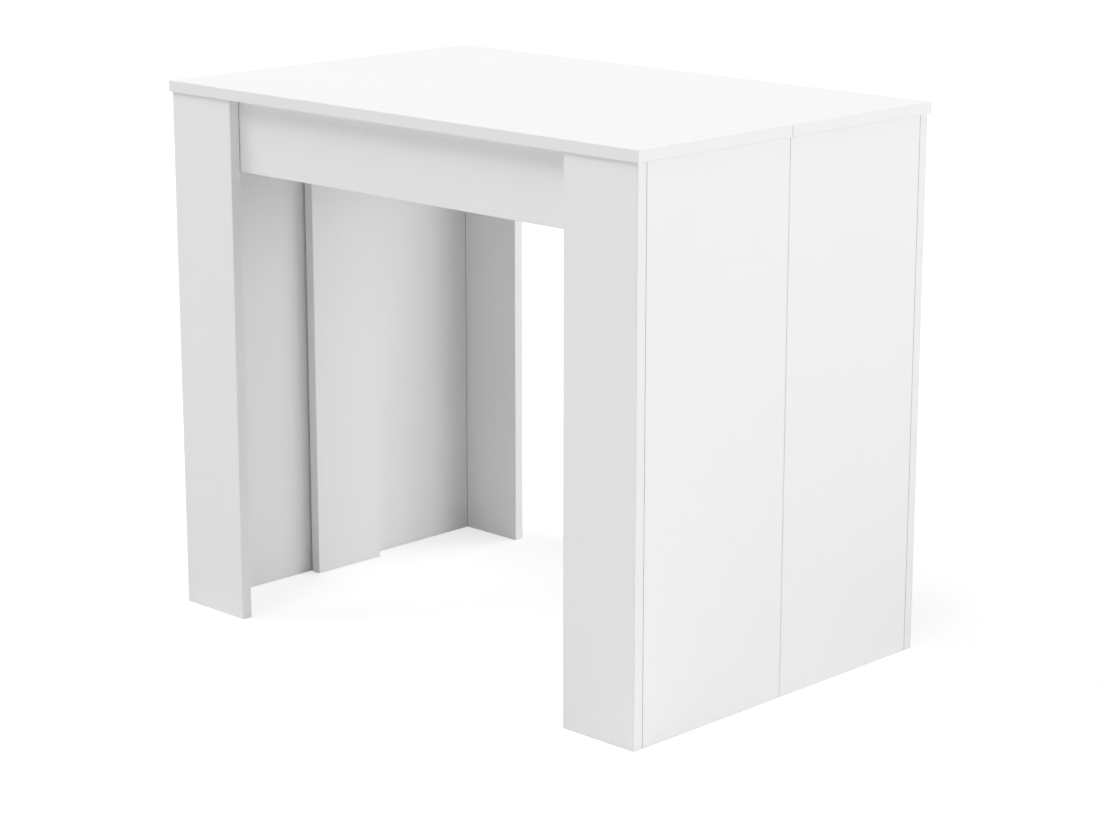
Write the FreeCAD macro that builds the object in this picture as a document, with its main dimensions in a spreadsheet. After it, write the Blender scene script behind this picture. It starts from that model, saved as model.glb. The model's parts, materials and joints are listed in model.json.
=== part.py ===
import FreeCAD, Part
import os
import Sketcher
from FreeCAD import Placement, Rotation, Vector

doc = FreeCAD.newDocument("console_table")

# Rails in each slide, the one on the centre legs, dowels in each stile, screws in each fixed rail
STAGES = 7
MIDDLE = (STAGES + 1) // 2
STILE_DOWELS = 4
RAIL_SCREWS = 3
# Share of the overrun within which an edge counts as lying on a face
touch_share = 0.01

# Driving sizes in millimetres
SIZES = (
    # Closed console
    ("table_width", 900.0),
    ("table_depth", 580.0),
    ("table_height", 770.0),
    ("board_thickness", 16.0),
    ("top_overhang", 3.5),
    ("seam_gap", 0.5),
    ("edge_ease", 0.5),
    # L-shaped legs and aprons
    ("stile_width", 125.0),
    ("apron_height", 102.0),
    ("apron_setback", 1.0),
    # Centre legs, which stand inside the side panels
    ("center_leg_width", 125.0),
    ("center_leg_gap", 4.0),
    ("center_leg_drop", 6.0),
    # Telescopic rails
    ("rail_width", 20.0),
    ("rail_height", 44.0),
    ("rail_gap", 4.0),
    ("rail_end_gap", 2.0),
    ("rail_side_gap", 3.0),
    ("rail_wall", 2.0),
    ("rail_round", 0.8),
    ("slot_mouth", 8.0),
    ("slot_lip", 2.0),
    ("slot_head", 18.0),
    ("slot_depth", 5.0),
    ("stage_overlap", 200.0),
    ("stop_gap", 0.4),
    ("run_clearance", 0.3),
    ("peg_diameter", 7.0),
    # Packing pieces under the tops and on the centre beam
    ("rail_pad", 1.0),
    ("beam_pad", 1.5),
    ("pad_seam_gap", 10.0),
    # Cam locks and their bolts
    ("cam_diameter", 15.0),
    ("cam_skin", 3.5),
    ("cam_setback", 34.0),
    ("cam_inset", 50.0),
    ("cam_face", 4.0),
    ("cam_way_width", 7.6),
    ("cam_way_reach", 4.5),
    ("cam_recess_length", 9.0),
    ("cam_recess_width", 2.0),
    ("cam_recess_depth", 2.0),
    ("apron_cam_drop", 76.0),
    ("beam_cam_spread", 70.0),
    ("bolt_thread_diameter", 5.0),
    ("bolt_skin", 5.0),
    ("bolt_collar_diameter", 7.5),
    ("bolt_collar", 2.0),
    ("bolt_neck_diameter", 5.0),
    ("bolt_head_diameter", 7.0),
    ("bolt_head", 4.0),
    ("bolt_hole_diameter", 8.0),
    # Wooden dowels
    ("dowel_diameter", 8.0),
    ("dowel_length", 30.0),
    ("dowel_skin", 6.0),
    ("dowel_spare", 1.0),
    ("dowel_chamfer", 1.0),
    ("dowel_inset", 60.0),
    ("apron_dowel_drop", 26.0),
    ("fit_clearance", 0.05),
    # Rail screws
    ("screw_diameter", 4.0),
    ("screw_head_diameter", 7.6),
    ("screw_head", 2.4),
    ("screw_skin", 5.0),
    ("screw_inset", 25.0),
    ("screw_access_diameter", 8.4),
    ("beam_screw_spread", 80.0),
    ("beam_screw_reach", 4.0),
    # Pins that line up the two tops
    ("pin_diameter", 8.0),
    ("pin_seat", 25.0),
    ("pin_reach", 14.0),
    ("pin_spare", 2.0),
    ("pin_chamfer", 1.5),
    ("pin_clearance", 0.2),
    ("pin_inset", 150.0),
    # Length by which a cutter runs past the face it opens
    ("overrun", 0.5),
)

# Places and fitted sizes that follow from the driving sizes
LAYOUT = (
    ("under_top", "sizes.table_height - sizes.board_thickness"),
    ("half_board", "sizes.board_thickness / 2"),
    ("legs_x", "sizes.table_width / 2 - sizes.top_overhang"),
    ("legs_y", "sizes.table_depth / 2 - sizes.top_overhang"),
    ("side_inner_x", "legs_x - sizes.board_thickness"),
    ("side_mid_x", "legs_x - half_board"),
    ("stile_back_y", "legs_y - sizes.board_thickness"),
    ("seam_y", "sizes.seam_gap / 2"),
    ("side_depth", "stile_back_y - seam_y"),
    ("top_depth", "sizes.table_depth / 2 - seam_y"),
    ("apron_back_y", "stile_back_y - sizes.apron_setback - sizes.board_thickness"),
    ("apron_mid_y", "apron_back_y + half_board"),
    ("apron_length", "2 * side_inner_x"),
    ("leg_outer_x", "side_inner_x - sizes.center_leg_gap"),
    ("leg_inner_x", "leg_outer_x - sizes.board_thickness"),
    ("leg_height", "under_top - sizes.center_leg_drop"),
    ("leg_half_width", "sizes.center_leg_width / 2"),
    ("rail_end_y", "apron_back_y - sizes.rail_end_gap"),
    ("rail_length", "2 * rail_end_y"),
    ("rail_pitch", "sizes.rail_width + sizes.rail_gap"),
    ("rail_first_x", "leg_inner_x - sizes.rail_side_gap - sizes.rail_width / 2"),
    ("rail_top_z", "under_top - sizes.rail_pad"),
    ("rail_low_z", "rail_top_z - sizes.rail_height"),
    ("slot_z", "rail_low_z + sizes.rail_height / 2"),
    ("slot_side", "sizes.rail_width / 2 - sizes.slot_lip"),
    ("slot_floor", "slot_side - sizes.slot_depth"),
    ("slot_low", "(sizes.rail_height - sizes.slot_head) / 2"),
    ("slot_high", "(sizes.rail_height + sizes.slot_head) / 2"),
    ("mouth_low", "(sizes.rail_height - sizes.slot_mouth) / 2"),
    ("mouth_high", "(sizes.rail_height + sizes.slot_mouth) / 2"),
    ("chamber_inner", "slot_floor - sizes.rail_wall"),
    ("chamber_outer", "sizes.rail_wall - sizes.rail_width / 2"),
    ("chamber_mid", "(chamber_inner + chamber_outer) / 2"),
    ("chamber_wide", "sizes.rail_width / 2 - sizes.rail_wall"),
    ("runner_length", "(sizes.stage_overlap - sizes.stop_gap) / 2"),
    ("runner_y", "rail_end_y - runner_length / 2"),
    ("runner_lip", "sizes.rail_gap / 2 + sizes.slot_lip"),
    ("runner_floor", "runner_lip + sizes.slot_depth"),
    ("runner_web", "sizes.slot_mouth / 2 - sizes.run_clearance"),
    ("peg_length", "2 * slot_floor - sizes.run_clearance"),
    ("peg_hole", "sizes.peg_diameter + 2 * sizes.fit_clearance"),
    ("pad_length", "rail_end_y - sizes.pad_seam_gap"),
    ("screw_step", f"(pad_length - 2 * sizes.screw_inset) / {RAIL_SCREWS - 1}"),
    ("screw_hole", "sizes.screw_diameter + 2 * sizes.fit_clearance"),
    ("screw_bite", "sizes.board_thickness - sizes.screw_skin"),
    ("beam_top_z", "rail_low_z - sizes.beam_pad"),
    ("beam_low_z", "beam_top_z - sizes.board_thickness"),
    ("beam_mid_z", "beam_low_z + half_board"),
    ("beam_length", "2 * leg_inner_x"),
    ("cam_depth", "sizes.board_thickness - sizes.cam_skin"),
    ("cam_hole", "sizes.cam_diameter + 2 * sizes.fit_clearance"),
    ("bolt_depth", "sizes.board_thickness - sizes.bolt_skin"),
    ("bolt_pilot", "sizes.bolt_thread_diameter + 2 * sizes.fit_clearance"),
    ("dowel_depth", "sizes.board_thickness - sizes.dowel_skin"),
    ("dowel_reach", "sizes.dowel_length - dowel_depth"),
    ("dowel_seat", "dowel_reach + sizes.dowel_spare"),
    ("dowel_hole", "sizes.dowel_diameter + 2 * sizes.fit_clearance"),
    ("dowel_step", f"(under_top - 2 * sizes.dowel_inset) / {STILE_DOWELS - 1}"),
    ("front_cam_y", "stile_back_y - sizes.cam_inset"),
    ("seam_cam_y", "seam_y + sizes.cam_inset"),
    ("pin_x", "sizes.table_width / 2 - sizes.pin_inset"),
    ("pin_seat_hole", "sizes.pin_diameter + 2 * sizes.fit_clearance"),
    ("pin_run_hole", "sizes.pin_diameter + 2 * sizes.pin_clearance"),
    ("pin_run_depth", "sizes.pin_reach - sizes.seam_gap + sizes.pin_spare"),
)

RIGHT, LEFT = Vector(1, 0, 0), Vector(-1, 0, 0)
REAR, FRONT = Vector(0, 1, 0), Vector(0, -1, 0)
UP, DOWN = Vector(0, 0, 1), Vector(0, 0, -1)
SIDES = {"left": -1, "right": 1}
HALVES = {"front": -1, "rear": 1}
OUTWARD = {-1: LEFT, 1: RIGHT}
INWARD = {-1: RIGHT, 1: LEFT}


def fill(name, rows):
    sheet = doc.addObject("Spreadsheet::Sheet", name)
    for row, (alias, content) in enumerate(rows, 1):
        sheet.set(f"A{row}", alias)
        sheet.set(f"B{row}", str(content) if name == "sizes" else f"={content}")
        sheet.setAlias(f"B{row}", alias)
    return sheet


sizes = fill("sizes", SIZES)
fill("layout", LAYOUT)
doc.recompute()


def value(expression):
    return float(sizes.evalExpression(expression))


def place(item, x, y, z, along, normal):
    turn = Rotation(along, normal.cross(along), normal, "XYZ")
    item.Placement = Placement(Vector(), turn)
    for axis, expression in zip("xyz", (x, y, z)):
        item.setExpression(f"Placement.Base.{axis}", expression)


def sketch_on(body, plane, offset="0"):
    sketch = body.newObject("Sketcher::SketchObject", body.Name + "_sketch")
    role = plane + "_Plane"
    support = [feature for feature in body.Origin.OriginFeatures if feature.Role == role][0]
    sketch.AttachmentSupport = (support, [""])
    sketch.MapMode = "FlatFace"
    sketch.setExpression("AttachmentOffset.Base.z", offset)
    return sketch


def fix_point(sketch, item, point, x, y):
    for kind, expression in (("DistanceX", x), ("DistanceY", y)):
        rule = Sketcher.Constraint(kind, -1, 1, item, point, value(expression))
        index = sketch.addConstraint(rule)
        sketch.setExpression(f"Constraints[{index}]", expression)


def polygon(sketch, points):
    first = sketch.GeometryCount
    corners = [Vector(value(x), value(y), 0) for x, y in points]
    count = len(corners)
    for i in range(count):
        sketch.addGeometry(Part.LineSegment(corners[i], corners[(i + 1) % count]), False)
    for i in range(count):
        sketch.addConstraint(Sketcher.Constraint("Coincident", first + i, 2, first + (i + 1) % count, 1))
    for i, (x, y) in enumerate(points):
        fix_point(sketch, first + i, 1, x, y)


def rectangle(sketch, left, low, right, high):
    polygon(sketch, [(left, low), (right, low), (right, high), (left, high)])


def circles(sketch, spots, diameter):
    for x, y in spots:
        circle = Part.Circle(Vector(value(x), value(y), 0), UP, value(diameter) / 2)
        item = sketch.addGeometry(circle, False)
        fix_point(sketch, item, 3, x, y)
        index = sketch.addConstraint(Sketcher.Constraint("Diameter", item, value(diameter)))
        sketch.setExpression(f"Constraints[{index}]", diameter)


def extrude(body, kind, sketch, length, reverse=False, middle=False):
    feature = body.newObject("PartDesign::" + kind, f"{body.Name}_{kind.lower()}")
    feature.Profile = sketch
    feature.setExpression("Length", length)
    feature.Reversed = reverse
    feature.Midplane = middle
    return feature


def new_body(label):
    body = doc.addObject("PartDesign::Body", label)
    body.Label = label
    return body


# Flat board with eased edges: length along its x, width along its y, thickness along its z
class Board:
    def __init__(self, label, length, width, thickness="sizes.board_thickness", eased=True):
        self.body = new_body(label)
        sketch = sketch_on(self.body, "XY")
        rectangle(sketch, "0", "0", length, width)
        pad = extrude(self.body, "Pad", sketch, thickness)
        doc.recompute()
        if eased:
            edges = self.body.newObject("PartDesign::Chamfer", label + "_edges")
            edges.Base = (pad, [""])
            edges.UseAllEdges = True
            edges.setExpression("Size", "sizes.edge_ease")
        self.faces = {
            "under": ("XY", "0", True),
            "upper": ("XY", thickness, False),
            "start": ("YZ", "0", True),
            "end": ("YZ", length, False),
            "near": ("XZ", "0", False),
            "far": ("XZ", f"-({width})", True),
        }

    def drill(self, face, diameter, depth, spots):
        plane, offset, reverse = self.faces[face]
        sketch = sketch_on(self.body, plane, offset)
        circles(sketch, spots, diameter)
        extrude(self.body, "Pocket", sketch, depth, reverse)

    def place(self, x, y, z, along, normal):
        place(self.body, x, y, z, along, normal)


# Turned piece: its outline is given as distance along the axis and diameter there
def turned(label, outline):
    body = new_body(label)
    sketch = sketch_on(body, "XY")
    points = [(x, f"({diameter}) / 2") for x, diameter in outline]
    polygon(sketch, [(outline[0][0], "0")] + points + [(outline[-1][0], "0")])
    turn = body.newObject("PartDesign::Revolution", label + "_turn")
    turn.Profile = sketch
    turn.ReferenceAxis = (sketch, ["H_Axis"])
    turn.Angle = 360
    return body


nodes = []


# Set of like pieces, each a copy of one model
def group(label, model, sites):
    copies = []
    for number, site in enumerate(sites, 1):
        copy = doc.addObject("App::Link", f"{label}_{number}")
        copy.LinkedObject = model
        place(copy, *site)
        copies.append(copy)
    together = doc.addObject("Part::Compound", label)
    together.Label = label
    together.Links = copies
    nodes.append(together)


cam_ends = ("layout.front_cam_y", "layout.seam_cam_y")
stile_heights = [f"sizes.dowel_inset + {i} * layout.dowel_step" for i in range(STILE_DOWELS)]
screw_places = [f"(sizes.screw_inset + {i} * layout.screw_step)" for i in range(RAIL_SCREWS)]
beam_spreads = [f"{s} * sizes.beam_cam_spread / 2" for s in (-1, 1)]
beam_screws = [f"{s} * sizes.beam_screw_spread / 2" for s in (-1, 1)]
apron_cam_z = "layout.under_top - sizes.apron_cam_drop"
apron_dowel_z = "layout.under_top - sizes.apron_dowel_drop"


def rail_x(stage):
    return f"(layout.rail_first_x - {stage - 1} * layout.rail_pitch)"


# Chamber of a fixed rail that takes its screws: outside the slot on the first rail, inside it on the last
def screw_x(stage):
    return f"({rail_x(stage)} {'-' if stage == 1 else '+'} layout.chamber_mid)"


# Two halves of the top, one model turned half round for the rear
for half, sy in HALVES.items():
    top = Board(half + "_top", "sizes.table_width", "layout.top_depth")
    middle_x = "sizes.table_width / 2"
    outer_y = "sizes.table_depth / 2"
    joint_x = [f"{middle_x} + {sx} * layout.side_mid_x" for sx in SIDES.values()]
    top.drill("under", "layout.bolt_pilot", "layout.bolt_depth",
              [(x, f"{outer_y} - {y}") for x in joint_x for y in cam_ends])
    top.drill("under", "layout.dowel_hole", "layout.dowel_depth",
              [(x, f"{outer_y} - layout.seam_y - layout.side_depth / 2") for x in joint_x])
    stage = 1 if half == "front" else STAGES
    top.drill("under", "layout.screw_hole", "layout.screw_bite",
              [(f"{middle_x} + {sx} * {screw_x(stage)}", f"{outer_y} - layout.rail_end_y + {y}")
               for sx in SIDES.values() for y in screw_places])
    pins = [(f"{middle_x} + {i} * layout.pin_x", "layout.half_board") for i in (-1, 0, 1)]
    if half == "front":
        top.drill("far", "layout.pin_seat_hole", "sizes.pin_seat", pins)
    else:
        top.drill("far", "layout.pin_run_hole", "layout.pin_run_depth", pins)
    top.place(f"{sy} * sizes.table_width / 2", f"{sy} * sizes.table_depth / 2", "layout.under_top",
              LEFT if sy > 0 else RIGHT, UP)
    nodes.append(top.body)

# L-shaped legs: a side panel with a stile across its outer edge
for half, sy in HALVES.items():
    for hand, sx in SIDES.items():
        same = sx * sy > 0
        inner = "upper" if same else "under"
        side = Board(f"{half}_{hand}_side", "layout.side_depth", "layout.under_top")
        near, far = "sizes.cam_inset", "layout.side_depth - sizes.cam_inset"
        side.drill("far", "sizes.bolt_hole_diameter", "sizes.cam_setback",
                   [(near, "layout.half_board"), (far, "layout.half_board")])
        side.drill("far", "layout.dowel_hole", "layout.dowel_seat",
                   [("layout.side_depth / 2", "layout.half_board")])
        side.drill("start", "layout.dowel_hole", "layout.dowel_seat",
                   [(z, "layout.half_board") for z in stile_heights])
        side.drill(inner, "layout.cam_hole", "layout.cam_depth",
                   [(x, "layout.under_top - sizes.cam_setback") for x in (near, far)])
        apron_x = "sizes.apron_setback + layout.half_board"
        side.drill(inner, "layout.bolt_pilot", "layout.bolt_depth", [(apron_x, apron_cam_z)])
        side.drill(inner, "layout.dowel_hole", "layout.dowel_depth", [(apron_x, apron_dowel_z)])
        side.place(f"{sx} * {'layout.legs_x' if same else 'layout.side_inner_x'}",
                   f"{sy} * layout.stile_back_y", "0",
                   FRONT if sy > 0 else REAR, LEFT if sy > 0 else RIGHT)
        nodes.append(side.body)

        stile = Board(f"{half}_{hand}_stile", "sizes.stile_width", "layout.under_top")
        joint = "layout.half_board" if same else "sizes.stile_width - layout.half_board"
        stile.drill("under", "layout.dowel_hole", "layout.dowel_depth", [(joint, z) for z in stile_heights])
        stile.place(f"{sx} * {'layout.legs_x' if same else '(layout.legs_x - sizes.stile_width)'}",
                    f"{sy} * layout.stile_back_y", "0",
                    LEFT if sy > 0 else RIGHT, REAR if sy > 0 else FRONT)
        nodes.append(stile.body)

# Aprons between the side panels
for half, sy in HALVES.items():
    apron = Board(half + "_apron", "layout.apron_length", "sizes.apron_height")
    cam_y = "sizes.apron_height - sizes.apron_cam_drop"
    dowel_y = "sizes.apron_height - sizes.apron_dowel_drop"
    for end in ("start", "end"):
        apron.drill(end, "sizes.bolt_hole_diameter", "sizes.cam_setback", [(cam_y, "layout.half_board")])
        apron.drill(end, "layout.dowel_hole", "layout.dowel_seat", [(dowel_y, "layout.half_board")])
    apron.drill("under", "layout.cam_hole", "layout.cam_depth",
                [("sizes.cam_setback", cam_y), ("layout.apron_length - sizes.cam_setback", cam_y)])
    apron.place(f"{sy} * layout.side_inner_x", f"{sy} * layout.apron_back_y",
                "layout.under_top - sizes.apron_height",
                LEFT if sy > 0 else RIGHT, REAR if sy > 0 else FRONT)
    nodes.append(apron.body)

# Centre legs and the flat beam that joins them under the slides
for hand, sx in SIDES.items():
    leg = Board(f"center_{hand}_leg", "sizes.center_leg_width", "layout.leg_height")
    leg.drill("upper", "layout.bolt_pilot", "layout.bolt_depth",
              [(f"layout.leg_half_width + {y}", "layout.beam_mid_z") for y in beam_spreads])
    leg.drill("upper", "layout.dowel_hole", "layout.dowel_depth",
              [("layout.leg_half_width", "layout.beam_mid_z")])
    leg.place(f"{sx} * layout.leg_outer_x", f"{sx} * layout.leg_half_width", "0",
              FRONT if sx > 0 else REAR, LEFT if sx > 0 else RIGHT)
    nodes.append(leg.body)

beam = Board("center_beam", "layout.beam_length", "sizes.center_leg_width")
beam_ys = [f"layout.leg_half_width + {y}" for y in beam_spreads]
for end in ("start", "end"):
    beam.drill(end, "sizes.bolt_hole_diameter", "sizes.cam_setback",
               [(y, "layout.half_board") for y in beam_ys])
    beam.drill(end, "layout.dowel_hole", "layout.dowel_seat",
               [("layout.leg_half_width", "layout.half_board")])
beam.drill("under", "layout.cam_hole", "layout.cam_depth",
           [(x, y) for x in ("sizes.cam_setback", "layout.beam_length - sizes.cam_setback") for y in beam_ys])
beam.drill("under", "layout.screw_hole", "sizes.board_thickness + sizes.overrun",
           [(f"layout.leg_inner_x + {sx} * {rail_x(MIDDLE)}", f"layout.leg_half_width + {y}")
            for sx in SIDES.values() for y in beam_screws])
beam.place("-layout.leg_inner_x", "-layout.leg_half_width", "layout.beam_low_z", RIGHT, UP)
nodes.append(beam.body)


# Outline of a T-slot in the side of a rail, from its lower lip up to its upper lip
def slot_points(sign):
    depths = ("sizes.rail_width / 2", "layout.slot_side", "layout.slot_floor")
    face, lip, floor = (f"{sign} * {depth}" for depth in depths)
    return [(face, "layout.mouth_low"), (lip, "layout.mouth_low"), (lip, "layout.slot_low"),
            (floor, "layout.slot_low"), (floor, "layout.slot_high"), (lip, "layout.slot_high"),
            (lip, "layout.mouth_high"), (face, "layout.mouth_high")]


# Extruded rail standing on its lower face, its slot (or slots) in its sides, its length along y
def rail(label, fixed):
    body = new_body(label)
    sketch = sketch_on(body, "XZ")
    half = "sizes.rail_width / 2"
    low, high = "sizes.rail_wall", "sizes.rail_height - sizes.rail_wall"
    second = [] if fixed else slot_points(-1)[::-1]
    polygon(sketch, [(f"-{half}", "0"), (half, "0")] + slot_points(1)
            + [(half, "sizes.rail_height"), (f"-{half}", "sizes.rail_height")] + second)
    inside = "layout.slot_floor" if fixed else "-layout.chamber_wide"
    rectangle(sketch, inside, low, "layout.chamber_wide", f"layout.slot_low - {low}")
    rectangle(sketch, inside, f"layout.slot_high + {low}", "layout.chamber_wide", high)
    if fixed:
        rectangle(sketch, "layout.chamber_outer", low, "layout.chamber_inner", high)
    bar = extrude(body, "Pad", sketch, "layout.rail_length", middle=True)
    doc.recompute()
    corners = []
    near = touch_share * value("sizes.overrun")
    for number, edge in enumerate(bar.Shape.Edges, 1):
        middle = edge.CenterOfGravity
        across = abs(abs(middle.x) - value(half)) < near
        outer = min(abs(middle.z), abs(middle.z - value("sizes.rail_height"))) < near
        if across and outer and abs(middle.y) < near:
            corners.append(f"Edge{number}")
    rounding = body.newObject("PartDesign::Fillet", label + "_corners")
    rounding.Base = (bar, corners)
    rounding.setExpression("Radius", "sizes.rail_round")
    return body


# Holes through the web for the pegs of the runners
def peg_holes(body, ends, web_middle, web):
    sketch = sketch_on(body, "YZ", web_middle)
    spots = [(f"{end} * layout.runner_y", "sizes.rail_height / 2") for end in ends]
    circles(sketch, spots, "layout.peg_hole")
    extrude(body, "Pocket", sketch, f"{web} + 2 * sizes.overrun", middle=True)


# Holes in the lower or the upper wall of a rail
def wall_holes(body, upper, spots, diameter):
    sketch = sketch_on(body, "XY", "sizes.rail_height" if upper else "0")
    circles(sketch, spots, diameter)
    extrude(body, "Pocket", sketch, "sizes.rail_wall + sizes.overrun", not upper)


# Nested rails of each slide: the first on the front half, the middle on the centre legs, the last on the rear
for hand, sx in SIDES.items():
    for stage in range(1, STAGES + 1):
        label = f"{hand}_rail_{stage}"
        fixed = stage in (1, STAGES)
        body = rail(label, fixed)
        if fixed:
            peg_holes(body, [-sx], "(layout.slot_floor + layout.chamber_inner) / 2", "sizes.rail_wall")
            screws = [("layout.chamber_mid", f"{sx} * (layout.rail_end_y - {y})") for y in screw_places]
            wall_holes(body, True, screws, "layout.screw_hole")
            wall_holes(body, False, screws, "sizes.screw_access_diameter")
        else:
            peg_holes(body, [-1, 1], "0", "2 * layout.slot_floor")
        if stage == MIDDLE:
            wall_holes(body, False, [("0", y) for y in beam_screws], "layout.screw_hole")
        slot_right = sx * (1 if stage == STAGES else -1) > 0
        place(body, f"{sx} * {rail_x(stage)}", "0", "layout.rail_low_z", RIGHT if slot_right else LEFT, UP)
        nodes.append(body)

# Runner: one flange sits tight in the slot of its own rail, the other runs in the slot of the next rail
runner = new_body("runner")
section = sketch_on(runner, "XZ")
own = "sizes.slot_head / 2 - sizes.fit_clearance"
run = "sizes.slot_head / 2 - sizes.run_clearance"
run_lip = "layout.runner_lip + sizes.run_clearance"
run_floor = "layout.runner_floor - sizes.run_clearance"
half_section = [("-layout.runner_floor", own), ("-layout.runner_lip", own),
                ("-layout.runner_lip", "layout.runner_web"), (run_lip, "layout.runner_web"),
                (run_lip, run), (run_floor, run)]
polygon(section, half_section + [(x, f"-({z})") for x, z in half_section[::-1]])
extrude(runner, "Pad", section, "layout.runner_length", middle=True)
peg = sketch_on(runner, "YZ", "-layout.runner_floor")
circles(peg, [("0", "0")], "sizes.peg_diameter")
extrude(runner, "Pad", peg, "layout.peg_length", reverse=True)


def runner_site(sx, gap, on_inner_rail):
    x = f"{sx} * (layout.rail_first_x - ({gap} - 1 / 2) * layout.rail_pitch)"
    own_left = (sx < 0) != on_inner_rail
    end = -1 if on_inner_rail else 1
    return (x, f"{end} * layout.runner_y", "layout.slot_z", RIGHT if own_left else LEFT, UP)


def rail_runners(sx, stage):
    sites = [runner_site(sx, stage, False)] if stage < STAGES else []
    return sites + ([runner_site(sx, stage - 1, True)] if stage > 1 else [])


for owner, stage in (("front", 1), ("center", MIDDLE), ("rear", STAGES)):
    group(owner + "_runners", runner, [site for sx in SIDES.values() for site in rail_runners(sx, stage)])
for hand, sx in SIDES.items():
    for stage in range(2, STAGES):
        if stage != MIDDLE:
            group(f"{hand}_rail_{stage}_runners", runner, rail_runners(sx, stage))

# Cam lock: a disc with a way for the head of its bolt and a slot for the screwdriver
cam = new_body("cam_lock")
disc = sketch_on(cam, "XY")
circles(disc, [("0", "0")], "sizes.cam_diameter")
extrude(cam, "Pad", disc, "layout.cam_depth")
way = sketch_on(cam, "XY", "layout.cam_depth")
rectangle(way, "-sizes.cam_way_reach", "-sizes.cam_way_width / 2",
          "sizes.cam_diameter / 2 + sizes.overrun", "sizes.cam_way_width / 2")
extrude(cam, "Pocket", way, "layout.cam_depth - sizes.cam_face")
recess = sketch_on(cam, "XY")
rectangle(recess, "-sizes.cam_recess_width / 2", "-sizes.cam_recess_length / 2",
          "sizes.cam_recess_width / 2", "sizes.cam_recess_length / 2")
extrude(cam, "Pocket", recess, "sizes.cam_recess_depth", reverse=True)

# Turned fasteners, each with its joint plane or bearing face at zero
head_start = "sizes.cam_setback - sizes.bolt_head / 2"
bolt = turned("cam_bolt", [
    ("-layout.bolt_depth", "sizes.bolt_thread_diameter"), ("0", "sizes.bolt_thread_diameter"),
    ("0", "sizes.bolt_collar_diameter"), ("sizes.bolt_collar", "sizes.bolt_collar_diameter"),
    ("sizes.bolt_collar", "sizes.bolt_neck_diameter"), (head_start, "sizes.bolt_neck_diameter"),
    (head_start, "sizes.bolt_head_diameter"),
    ("sizes.cam_setback + sizes.bolt_head / 2", "sizes.bolt_head_diameter")])
dowel_tip = "sizes.dowel_diameter - 2 * sizes.dowel_chamfer"
dowel = turned("dowel", [
    ("-layout.dowel_depth", dowel_tip), ("sizes.dowel_chamfer - layout.dowel_depth", "sizes.dowel_diameter"),
    ("layout.dowel_reach - sizes.dowel_chamfer", "sizes.dowel_diameter"), ("layout.dowel_reach", dowel_tip)])
pin_tip = "sizes.pin_diameter - 2 * sizes.pin_chamfer"
pin = turned("pin", [
    ("-sizes.pin_seat", "sizes.pin_diameter"), ("sizes.pin_reach - sizes.pin_chamfer", "sizes.pin_diameter"),
    ("sizes.pin_reach", pin_tip)])


def screw(label, shank):
    return turned(label, [
        ("-sizes.screw_head", "sizes.screw_head_diameter"), ("0", "sizes.screw_head_diameter"),
        ("0", "sizes.screw_diameter"), (shank, "sizes.screw_diameter")])


rail_screw = screw("rail_screw", "sizes.rail_wall + sizes.rail_pad + layout.screw_bite")
beam_screw = screw("beam_screw",
                   "sizes.board_thickness + sizes.beam_pad + sizes.rail_wall + sizes.beam_screw_reach")

# Packing strips that hold the rails clear of the far top and of the beam
top_pad = Board("top_pad", "layout.pad_length", "sizes.rail_width", "sizes.rail_pad", eased=False)
top_pad.drill("under", "layout.screw_hole", "sizes.rail_pad + sizes.overrun",
              [(x, "sizes.rail_width / 2 + layout.chamber_mid") for x in screw_places])
beam_strip = Board("beam_strip", "sizes.center_leg_width", "sizes.rail_width", "sizes.beam_pad",
                   eased=False)
beam_strip.drill("under", "layout.screw_hole", "sizes.beam_pad + sizes.overrun",
                 [(f"layout.leg_half_width + {y}", "sizes.rail_width / 2") for y in beam_screws])

for half, sy in HALVES.items():
    stage = 1 if half == "front" else STAGES
    into_half = REAR if sy > 0 else FRONT
    from_stile = FRONT if sy > 0 else REAR
    hands = SIDES.values()
    apron_y = f"{sy} * layout.apron_mid_y"
    group(half + "_cams", cam,
          [(f"{sx} * layout.side_inner_x", f"{sy} * {y}", "layout.under_top - sizes.cam_setback",
            UP, OUTWARD[sx]) for sx in hands for y in cam_ends]
          + [(f"{sx} * (layout.side_inner_x - sizes.cam_setback)", f"{sy} * layout.apron_back_y", apron_cam_z,
              OUTWARD[sx], into_half) for sx in hands])
    group(half + "_cam_bolts", bolt,
          [(f"{sx} * layout.side_mid_x", f"{sy} * {y}", "layout.under_top", DOWN, REAR)
           for sx in hands for y in cam_ends]
          + [(f"{sx} * layout.side_inner_x", apron_y, apron_cam_z, INWARD[sx], UP) for sx in hands])
    group(half + "_dowels", dowel,
          [(f"{sx} * layout.side_mid_x", f"{sy} * (layout.seam_y + layout.side_depth / 2)",
            "layout.under_top", DOWN, REAR) for sx in hands]
          + [(f"{sx} * layout.side_mid_x", f"{sy} * layout.stile_back_y", z, from_stile, UP)
             for sx in hands for z in stile_heights]
          + [(f"{sx} * layout.side_inner_x", apron_y, apron_dowel_z, INWARD[sx], UP) for sx in hands])
    group(half + "_rail_screws", rail_screw,
          [(f"{sx} * {screw_x(stage)}", f"{sy} * (layout.rail_end_y - {y})",
            "layout.rail_top_z - sizes.rail_wall", UP, REAR) for sx in hands for y in screw_places])
    along = FRONT if sy > 0 else REAR
    pads = []
    for sx in hands:
        slot_side = sx * (1 if stage == STAGES else -1)
        upright = UP.cross(along).x * slot_side > 0
        edge = f"{sx} * {rail_x(stage)} - ({slot_side}) * sizes.rail_width / 2"
        pads.append((edge, f"{sy} * layout.rail_end_y",
                     "layout.rail_top_z" if upright else "layout.under_top", along, UP if upright else DOWN))
    group(half + "_rail_pads", top_pad.body, pads)

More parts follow.
